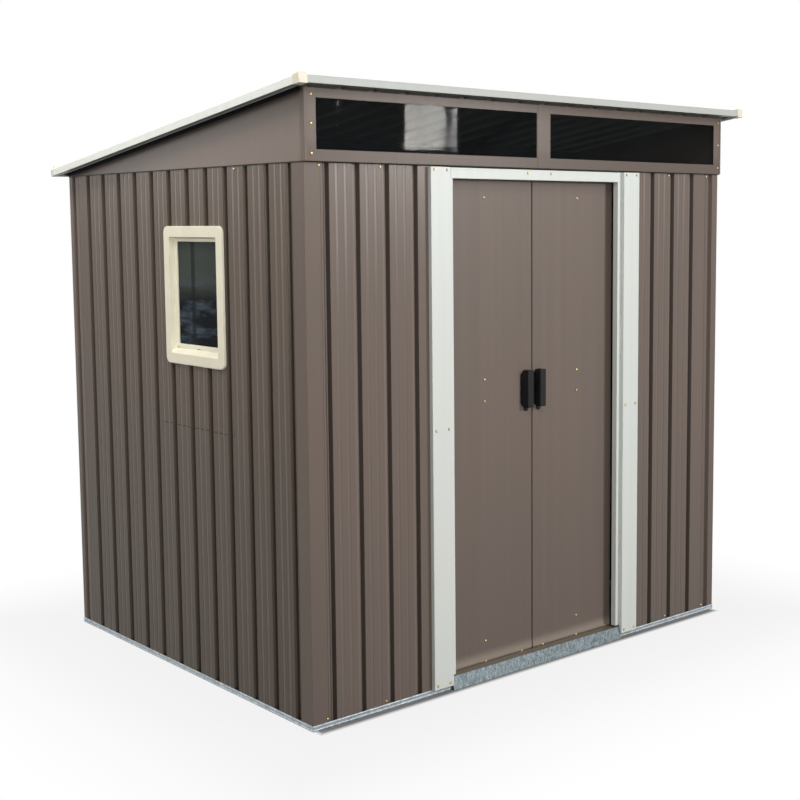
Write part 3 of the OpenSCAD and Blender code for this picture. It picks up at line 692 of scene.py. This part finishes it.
def fasten_everything():
    front, back = (0, -1, 0), (0, 1, 0)
    # two columns of three on the flat face of each door jamb
    for side in ("left", "right"):
        low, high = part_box(f"door_jamb_{side}")
        sign = -1 if side == "left" else 1
        outer = max(abs(low.x), abs(high.x))
        columns = [sign * (outer - inset) for inset in JAMB_SCREWS_IN]
        rows = [low.z + JAMB_SCREWS_ENDS[0], JAMB_SCREW_MIDDLE, high.z - JAMB_SCREWS_ENDS[1]]
        add_screws(f"jamb_screws_{side}", grid_places(columns, low.y, rows), front)
    # header, beside the meeting edge of the doors
    low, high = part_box("door_header")
    places = grid_places(HEADER_SCREWS_X, low.y, [high.z - HEADER_SCREWS_DOWN])
    add_screws("header_screws", places, front)
    # transom ends
    low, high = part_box("transom_sheet_left")
    rows = [low.z + TRANSOM_SCREWS_ROWS[0], (low.z + high.z) / 2, high.z - TRANSOM_SCREWS_ROWS[1]]
    ends = (wall_left + TRANSOM_SCREWS_ENDS[0], wall_right - TRANSOM_SCREWS_ENDS[1])
    add_screws("transom_screws", grid_places(ends, low.y, rows), front)
    # wall sheets along the top and the base, beside the grooves
    top = wall_top - WALL_SCREWS_DOWN
    add_screws("front_top_screws", grid_places(FRONT_SCREWS_X, wall_front, [top]), front)
    add_screws("front_base_screws", grid_places(FRONT_SCREWS_X, wall_front, [BASE_SCREWS_Z]), front)
    add_screws("back_screws", grid_places(BACK_SCREWS_X, wall_back, (BASE_SCREWS_Z, top)), back)
    add_screws("left_side_screws", [(wall_left, SIDE_SCREW_Y, top)], (-1, 0, 0))
    add_screws("right_side_screws", [(-wall_left, SIDE_SCREW_Y, top)], (1, 0, 0))
    # doors, down the middle and in a row along the foot
    for side, sign in (("left", -1), ("right", 1)):
        low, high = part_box(f"door_{side}_leaf")
        face = low.y - DOOR_SKIN
        middle = sign * DOOR_SCREW_X
        places = grid_places([middle], face, [high.z - DOOR_SCREWS_DOWN, *DOOR_SCREWS_Z])
        feet = [sign * FOOT_SCREWS_X[0], middle, sign * FOOT_SCREWS_X[1]]
        places += grid_places(feet, face - FOOT_BULGE, [low.z + FOOT_SCREWS_UP])
        add_screws(f"door_{side}_screws", places, front, f"door_{side}")


DOOR_SKIN = 0.8 * MM
FOOT_BULGE = 0.6 * MM
# height above the foot of the leaf and how far the face stands proud there, in millimetres
DOOR_FOOT = [
    (0, 0.6), (11.5, 0.6), (12.5, 0.1), (14, 0.0), (15.5, 0.4), (17.5, 1.5), (20, 2.2), (22.5, 2.35),
    (25, 1.95), (28, 1.25), (31, 0.65), (35, 0.3), (42, 0.1), (50, 0.0),
]
# the first faces of the sheet are the foot rail, which is bare zinc
FOOT_RAIL_FACES = 1
# added sheets end this far off the CAD face they lie on
CLEAR = 0.05 * MM


def door_skin(side):
    """Face sheet of a leaf: flat, with a swelling above the rail that its foot is screwed to."""
    low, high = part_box(f"door_{side}_leaf")
    outline = [(low.y - DOOR_SKIN - proud * MM, low.z + z * MM) for z, proud in DOOR_FOOT]
    outline.append((low.y - DOOR_SKIN, high.z))
    outline += [(low.y - CLEAR, high.z), (low.y - CLEAR, low.z)]
    rings = [[(x, y, z) for y, z in outline] for x in (low.x, high.x)]
    points, faces = lofted(rings)
    add_piece(f"door_{side}_face", points, faces, "door", f"door_{side}", "wall_paint", smooth=BLEND,
              marks=("threshold", range(FOOT_RAIL_FACES)))


# ---------------------------------------------------------------- folded edges and bars of painted shade


def bar_between(start, end, section):
    """A straight bar; section is a list of offsets across it, as vectors."""
    rings = [[Vector(place) + Vector(offset) for offset in section] for place in (start, end)]
    return lofted(rings)


# how far the back of a half round bar goes into the face it stands on
SUNK = 0.2 * MM


def half_round(out, up, width, height, segments=6):
    """Offsets of a rounded rib that stands on a face, height being how far it stands out."""
    section = []
    for k in range(segments + 1):
        angle = math.pi * k / segments
        section.append(out * (height * math.sin(angle)) - up * (width / 2 * math.cos(angle)))
    section.append(up * (width / 2) - out * SUNK)
    section.append(up * (-width / 2) - out * SUNK)
    return section


# height and width of each rib on a base rail, and how far the ribs stand out
RAIL_RIBS = ((3.2 * MM, 5.6 * MM), (13.6 * MM, 6.0 * MM))
RAIL_RIB_HEIGHT = 1.7 * MM


def rail_ribs():
    """Two rolled ribs along the outer lip of each base rail."""
    threshold_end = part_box("door_threshold")[1].x + 1 * MM
    low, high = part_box("base_rail_front")
    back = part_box("base_rail_back")[1].y
    up = Vector((0, 0, 1))
    runs = [
        ("front_left", (low.x, low.y), (-threshold_end, low.y), (0, -1, 0)),
        ("front_right", (threshold_end, low.y), (high.x, low.y), (0, -1, 0)),
        ("left", (low.x, low.y), (low.x, back), (-1, 0, 0)),
        ("right", (high.x, low.y), (high.x, back), (1, 0, 0)),
        ("back", (low.x, back), (high.x, back), (0, 1, 0)),
    ]
    for name, start, end, out in runs:
        bars = [bar_between((*start, z), (*end, z), half_round(Vector(out), up, width, RAIL_RIB_HEIGHT))
                for z, width in RAIL_RIBS]
        add_piece(f"base_rail_ribs_{name}", *joined(bars), "rail", smooth=BLEND)


def gable_face(side):
    """The outer face of a gable, as x."""
    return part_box(f"gable_{side}")[0 if side == "left" else 1].x


# the corner sheet: thickness, radius of the fold, and the laps on the front and on the side
CORNER_SHEET = 0.7 * MM
CORNER_RADIUS = 1.6 * MM
CORNER_LAPS = (9 * MM, 17 * MM)


def transom_corners():
    """Folded edge that closes the corner between each gable and the transom."""
    low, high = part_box("transom_sheet_left")
    front = low.y
    t, r = CORNER_SHEET, CORNER_RADIUS
    front_lap, side_lap = CORNER_LAPS
    # how far outside the gable's face, and the place along Y
    section = [
        (t, front + side_lap), (t, front - t + r), (t - r * 0.3, front - t + r * 0.3),
        (t - r, front - t), (-front_lap, front - t), (-front_lap, front - CLEAR),
        (-0.6 * MM, front - CLEAR), (CLEAR, front + 1.0 * MM), (CLEAR, front + side_lap),
    ]
    for side, sign in (("left", -1), ("right", 1)):
        outer = gable_face(side)
        rings = [[(outer + sign * x, y, z) for x, y in section] for z in (low.z, high.z - 2 * MM)]
        points, faces = lofted(rings)
        add_piece(f"transom_corner_{side}", points, faces, "wall", slot="wall_paint")


# steps from rib to rib across the roof, and the mouth, the crest and the height of one rib
ROOF_RIBS = 16
ROOF_RIB = (26 * MM, 14 * MM, 8 * MM)
# how much lower the nose is at the transom than at the trim, and its thickness
NOSE_DROP = 5.2 * MM
NOSE_SHEET = 0.6 * MM


def roof_nose():
    """Front end of the roof sheet, seen from below between the trim and the transom, dark with painted
    shade.
    """
    mouth, crest, height = ROOF_RIB
    step = (wall_right - wall_left) / ROOF_RIBS
    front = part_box("roof_trim_front")[1].y + 0.4 * MM
    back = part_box("transom_sheet_left")[0].y - 0.9 * MM
    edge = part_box("roof_trim_front")[0].z + 2.0 * MM
    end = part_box("roof_trim_right")[0].x
    profile = [(-end, 0)]
    for k in range(ROOF_RIBS + 1):
        x = wall_left + k * step
        profile += [(x - mouth / 2, 0), (x - crest / 2, height), (x + crest / 2, height),
                    (x + mouth / 2, 0)]
    profile.append((end, 0))
    closed = profile + [(x, z + NOSE_SHEET) for x, z in reversed(profile)]
    rings = [[(x, y, edge - drop + z) for x, z in closed] for y, drop in ((front, 0), (back, NOSE_DROP))]
    points, faces = lofted(rings, closed_ends=False)
    add_piece("roof_sheet_nose", points, faces, "nose", slot="wall_paint")


# width of the dark bars of painted shade and how far they stand out
GABLE_SHADE_BAR_SIZE = (13 * MM, 5 * MM)
TRANSOM_SHADOW_STRIP = (3.2 * MM, 8.4 * MM)
GABLE_SHADOW_STRIP = (3.0 * MM, 2.4 * MM)


def gable_shade_bars():
    """Dark bars between the roof sheet and the top edge of each gable: painted shade under the overhang."""
    front, top, fall = gable_edge()
    low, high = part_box("gable_left")
    back = min(high.y - 2 * MM, front + (top - low.z - 4 * MM) / fall)
    for side, sign in (("left", -1), ("right", 1)):
        x = gable_face(side)
        section = half_round(Vector((sign, 0, 0)), Vector((0, 0, 1)), *GABLE_SHADE_BAR_SIZE)
        points, faces = bar_between((x, front, top), (x, back, top - fall * (back - front)), section)
        add_piece(f"gable_shade_bar_{side}", points, faces, "shade_bar_black", smooth=BLEND)


def shadow_gaps():
    """Dark strips under the lower edges of the transom and the gables: painted shadow of the gaps there."""
    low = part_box("transom_sheet_left")[0]
    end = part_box("transom_sheet_right")[1].x
    up = Vector((0, 0, 1))
    section = half_round(Vector((0, -1, 0)), up, *TRANSOM_SHADOW_STRIP)
    z = low.z - 1.2 * MM
    y = wall_front - 0.2 * MM
    points, faces = bar_between((low.x, y, z), (end, y, z), section)
    add_piece("transom_shadow_strip", points, faces, "rubber", smooth=BLEND)
    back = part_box("gable_left")[1].y
    for side, sign in (("left", -1), ("right", 1)):
        section = half_round(Vector((sign, 0, 0)), up, *GABLE_SHADOW_STRIP)
        x = sign * wall_right
        points, faces = bar_between((x, wall_front, z), (x, back, z), section)
        add_piece(f"gable_shadow_strip_{side}", points, faces, "rubber", smooth=BLEND)


# place across and behind the wall's face, in millimetres
LIP_SECTION = [(-2.2, 4.6), (-1.6, 3.4), (1.4, 3.2), (2.2, 4.0), (1.8, 4.6), (-1.4, 5.2)]


def groove_lip():
    """Edge of the corner sheet, turned into the first groove of the front wall."""
    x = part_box("corner_front_left")[1].x + 15 * MM
    rings = [[(x + a * MM, wall_front + b * MM, z) for a, b in LIP_SECTION]
             for z in (20 * MM, wall_top - 12 * MM)]
    points, faces = lofted(rings)
    add_piece("corner_sheet_lip", points, faces, "wall", slot="wall_paint")


PLUG_INSET = 1.1 * MM
PLUG_CORNER = 3 * MM
PLUG_DEPTHS = (0.4 * MM, 1.6 * MM)


def trim_ends():
    """Plugs in the open ends of the back trim."""
    low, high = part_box("roof_trim_back")
    y0, y1 = low.y + PLUG_INSET, high.y - PLUG_INSET
    z0, z1 = low.z + PLUG_INSET, high.z - PLUG_INSET
    r = PLUG_CORNER
    outline = [(y0 + r, z0), (y1 - r, z0), (y1, z0 + r), (y1, z1 - r),
               (y1 - r, z1), (y0 + r, z1), (y0, z1 - r), (y0, z0 + r)]
    for side, x, sign in (("left", low.x, 1), ("right", high.x, -1)):
        rings = [[(x + sign * depth, y, z) for y, z in outline] for depth in PLUG_DEPTHS]
        points, faces = lofted(rings)
        add_piece(f"roof_trim_end_{side}", points, faces, "trim", slot="trim_paint")


# radius and height of the rings of the bolt, in millimetres
BOLT_RINGS = [(7, 0), (7, 1.2), (5.5, 1.8), (3.4, 2), (3.4, 4), (2.3, 4.6), (2.3, 18), (1.6, 19.2)]
BOLT_SIDES = 12


def roof_tip_bolt():
    """The bolt that stands up at the low left corner of the roof."""
    low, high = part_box("roof_trim_back")
    place = Vector((low.x + 8 * MM, high.y - 8 * MM, low.z + 17 * MM))
    turns = [2 * math.pi * i / BOLT_SIDES for i in range(BOLT_SIDES)]
    rings = [[place + Vector((radius * math.cos(turn), radius * math.sin(turn), height)) * MM
              for turn in turns] for radius, height in BOLT_RINGS]
    points, faces = lofted(rings)
    add_piece("roof_tip_bolt", points, faces, "screw", smooth=BLEND)


# ---------------------------------------------------------------- side window


def window_ring(box, x, side, top, bottom, radius, segments=8):
    """Rounded outline in the plane x. side, top and bottom are insets from the box of the frame, and
    they and the radius are in millimetres."""
    low, high = box
    y0, y1 = low.y + side * MM, high.y - side * MM
    z0, z1 = low.z + bottom * MM, high.z - top * MM
    r = radius * MM
    corners = [(y1 - r, z1 - r, 0), (y0 + r, z1 - r, 90),
               (y0 + r, z0 + r, 180), (y1 - r, z0 + r, 270)]
    ring = []
    for y, z, start in corners:
        for k in range(segments + 1):
            angle = math.radians(start + 90 * k / segments)
            ring.append((x, y + r * math.cos(angle), z + r * math.sin(angle)))
    return ring


# the rise of the sill and the insets of the glass from the edges of the frame, in millimetres
SILL_RISE = 14
GLASS_TOP = 48
GLASS_BOTTOM = 62
GLASS_SIDE = 54


def window_frame():
    """Flange, recess with a sloped sill, and the rim that holds the glass, as a closed loop of rings."""
    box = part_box("window_frame")
    face = box[0].x
    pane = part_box("window_pane")[0].x
    rim = pane - 4 * MM
    # x, the insets at the sides, the top and the bottom, and the radius of the corners
    shape = [
        (wall_left, 0, 0, 0, 22), (face + 2.5 * MM, 0, 0, 0, 22),
        (face + 0.8 * MM, 0.8, 0.8, 0.8, 21.2), (face, 2.6, 2.6, 2.6, 19.4),
        (face, 3.4, 3.4, 3.4, 18.6), (face, 32.2, 32.2, 31.2, 7),
        (face, 33, 33, 32, 6.5), (face + 0.6 * MM, 34, 34, 33, 6),
        (face + 1.6 * MM, 34.4, 34.4, 33.4, 5.6), (rim - 0.4 * MM, 35, 35, 33.4 + SILL_RISE - 0.4, 5),
        (rim, 35.4, 35.4, 33.4 + SILL_RISE, 5),
        (rim, GLASS_SIDE - 1.8, GLASS_TOP - 1.8, GLASS_BOTTOM - 1.8, 5.5),
        (rim + 0.3 * MM, GLASS_SIDE - 0.6, GLASS_TOP - 0.6, GLASS_BOTTOM - 0.6, 5),
        (rim + 1.2 * MM, GLASS_SIDE, GLASS_TOP, GLASS_BOTTOM, 4.5),
        (pane - 0.1 * MM, GLASS_SIDE, GLASS_TOP, GLASS_BOTTOM, 4.5),
        (pane - 0.1 * MM, 33, 33, 31, 4.5), (wall_left, 33, 33, 31, 4.5),
    ]
    rings = [window_ring(box, *section) for section in shape]
    points, faces = lofted(rings, loop=True)
    piece = add_piece("window_surround", points, faces, "cream", slot="cream_plastic", smooth=32)
    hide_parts("window_frame")
    window_slots(box, rim)


def stadium(x0, x1, y, z, half_length, half_height, segments=5):
    """A short bar with round ends, between two planes of x."""
    rings = []
    for x in (x0, x1):
        ring = []
        for centre, start in ((half_length, -90), (-half_length, 90)):
            for k in range(segments + 1):
                angle = math.radians(start + 180 * k / segments)
                ring.append((x, y + centre + half_height * math.cos(angle),
                             z + half_height * math.sin(angle)))
        rings.append(ring)
    return lofted(rings)


# where the slots stand, as shares of the frame's width from its rear edge
SLOT_SHARES = (0.14, 0.5, 0.88)


def window_slots(box, rim):
    """Drain slots at the back of the sill and the clips below the flange."""
    low, high = box
    bars = []
    for share in SLOT_SHARES:
        y = high.y - share * (high.y - low.y)
        bars += [stadium(rim - 0.25 * MM, rim + 0.5 * MM, y, low.z + 50 * MM, 9 * MM, 0.8 * MM),
                 stadium(wall_left - 4.5 * MM, wall_left - 0.2 * MM, y, low.z - 1.2 * MM, 5 * MM, 1.6 * MM)]
    add_piece("window_slots", *joined(bars), "rubber")


CAP_ROUNDING = 2.0 * MM
HANDLE_ROUNDING = 1.5 * MM
WELD_REACH = 0.01 * MM
# edges that turn by more than this are rounded, in degrees
SHARP_FROM = 35


def soften(name, width, segments):
    """Rounds the sharp folds of a CAD node with modifiers, and leaves its mesh as it is."""
    part = nodes[name]
    weld = part.modifiers.new("weld", "WELD")
    weld.merge_threshold = WELD_REACH
    bevel = part.modifiers.new("bevel", "BEVEL")
    bevel.width = width
    bevel.segments = segments
    bevel.limit_method = "ANGLE"
    bevel.angle_limit = math.radians(SHARP_FROM)
    bevel.harden_normals = False


# ---------------------------------------------------------------- stage


def seen_by_eye(finish):
    """1 for what the camera, a gloss or a clear sheet sees of the white backdrop, else 0."""
    path = finish.add("ShaderNodeLightPath")
    seen = finish.math("MAXIMUM", path.outputs["Is Camera Ray"], path.outputs["Is Glossy Ray"])
    return finish.math("MAXIMUM", seen, path.outputs["Is Transmission Ray"])


FLOOR_HALF = 40.0
FLOOR_GREY = (0.24, 0.24, 0.24, 1)
# share of plain white in what is seen of the floor: right beside the walls, and what is added to that
# over the next WHITE_REACH metres
WHITE_BESIDE, WHITE_ADDED = 0.86, 0.14
WHITE_REACH = 0.8


def add_floor():
    """Floor that is a lit surface inside the shed and near it, and a white backdrop further out."""
    mesh = bpy.data.meshes.new("floor")
    half = FLOOR_HALF
    corners = [(-half, -half, 0), (half, -half, 0), (half, half, 0), (-half, half, 0)]
    mesh.from_pydata(corners, [], [(0, 1, 2, 3)])
    floor = bpy.data.objects.new("floor", mesh)
    bpy.context.scene.collection.objects.link(floor)
    floor.location.z = -0.2 * MM
    finish = Finish("pale_floor", Base_Color=FLOOR_GREY, Roughness=0.9, Specular_IOR_Level=0.1)
    beside_x = finish.math("SUBTRACT", finish.math("ABSOLUTE", finish.axis("X")), wall_right)
    beside_y = finish.math("SUBTRACT", finish.math("ABSOLUTE", finish.axis("Y")), wall_back)
    away = finish.math("MAXIMUM", beside_x, beside_y)
    share = finish.math("ADD", finish.ranged(away, -0.02, 0.0, 0, WHITE_BESIDE),
                        finish.ranged(away, 0.0, WHITE_REACH, 0, WHITE_ADDED, smooth=True))
    glow = finish.add("ShaderNodeEmission")
    glow.inputs["Color"].default_value = (1, 1, 1, 1)
    glow.inputs["Strength"].default_value = 1.0
    mix = finish.add("ShaderNodeMixShader")
    finish.link(finish.times(share, seen_by_eye(finish)), mix.inputs[0])
    finish.link(finish.shader.outputs[0], mix.inputs[1])
    finish.link(glow.outputs[0], mix.inputs[2])
    finish.link(mix.outputs[0], finish.tree.nodes["Material Output"].inputs["Surface"])
    mesh.materials.append(finish.material)


# strength of the white world as a light, next to 1 where it is seen
WORLD_FILL = 0.09


def add_world():
    world = bpy.data.worlds.new("studio")
    bpy.context.scene.world = world
    world.use_nodes = True
    tree = world.node_tree
    background = tree.nodes["Background"]
    background.inputs["Color"].default_value = (1, 1, 1, 1)
    path = tree.nodes.new("ShaderNodeLightPath")
    seen = tree.nodes.new("ShaderNodeMath")
    seen.operation = "MAXIMUM"
    tree.links.new(path.outputs["Is Camera Ray"], seen.inputs[0])
    shown = tree.nodes.new("ShaderNodeMath")
    shown.operation = "MAXIMUM"
    tree.links.new(path.outputs["Is Glossy Ray"], shown.inputs[0])
    tree.links.new(path.outputs["Is Transmission Ray"], shown.inputs[1])
    tree.links.new(shown.outputs[0], seen.inputs[1])
    strength = tree.nodes.new("ShaderNodeMapRange")
    strength.inputs["To Min"].default_value = WORLD_FILL
    strength.inputs["To Max"].default_value = 1.0
    tree.links.new(seen.outputs[0], strength.inputs["Value"])
    tree.links.new(strength.outputs["Result"], background.inputs["Strength"])


def add_lamp(name, place, target, size, power, colour=(1, 1, 1)):
    data = bpy.data.lights.new(name, "AREA")
    data.shape = "RECTANGLE"
    data.size, data.size_y = size
    data.energy = power
    data.color = colour
    lamp = bpy.data.objects.new(name, data)
    bpy.context.scene.collection.objects.link(lamp)
    lamp.location = place
    lamp.rotation_euler = (Vector(target) - Vector(place)).to_track_quat("-Z", "Y").to_euler()


MIDDLE = (0, 0, 1.0)
WARM_FAINT = (1.0, 0.97, 0.93)
WARM = (1.0, 0.95, 0.88)
# name, place, target, size across and up, power in watts, colour
LAMPS = [
    ("key_softbox", (5.0, -9.2, 5.0), MIDDLE, (1.25, 2.1), 320),
    # a tall window and slits beside it, which the glazed strip mirrors
    ("bright_window", (2.274, -4.0, 2.056), MIDDLE, (0.249, 0.387), 44, WARM_FAINT),
    ("bright_slit", (2.504, -4.0, 2.056), MIDDLE, (0.036, 0.387), 4),
    ("thin_slit", (1.619, -4.0, 2.1), MIDDLE, (0.010, 0.3), 0.35),
    # soft light on the front and on the left side
    ("front_strip", (-1.7, -4.1, 1.75), (-0.7, -0.7, 1.3), (0.3, 1.4), 40),
    ("high_softbox", (-1.7, -2.9, 3.7), (0, -0.7, 1.3), (1.2, 0.8), 36),
    ("left_softbox", (-3.9, 0.5, 2.3), (-0.9, 0.1, 1.5), (1.8, 0.7), 30, WARM),
    ("sky_card", (-2.6, 0.3, 4.2), (-0.9, 0.1, 1.3), (1.8, 1.2), 60, WARM_FAINT),
    ("back_left_card", (-3.1, 3.75, 2.1), (-0.9, 0, 1.6), (1.6, 0.9), 8),
    # cards that only reach the sides which the photo leaves out
    ("right_card", (4.6, 0.6, 2.4), (0.9, 0.3, 1.0), (1.8, 1.2), 62),
    ("back_card", (0.2, 4.6, 2.4), (0, 0.8, 1.0), (1.8, 1.2), 62),
]


def add_studio():
    add_floor()
    add_world()
    for lamp in LAMPS:
        add_lamp(*lamp)


# ---------------------------------------------------------------- build

add_camera()
dress_cad_nodes()
for side in ("left", "right"):
    door_skin(side)
window_frame()
rail_ribs()
transom_corners()
roof_nose()
gable_shade_bars()
shadow_gaps()
groove_lip()
trim_ends()
roof_tip_bolt()
fasten_everything()
for name in ("roof_cap_left", "roof_cap_right"):
    soften(name, CAP_ROUNDING, 3)
for name in ("door_left_handle", "door_right_handle"):
    soften(name, HANDLE_ROUNDING, 2)
add_studio()

bpy.context.scene.view_settings.view_transform = "Standard"
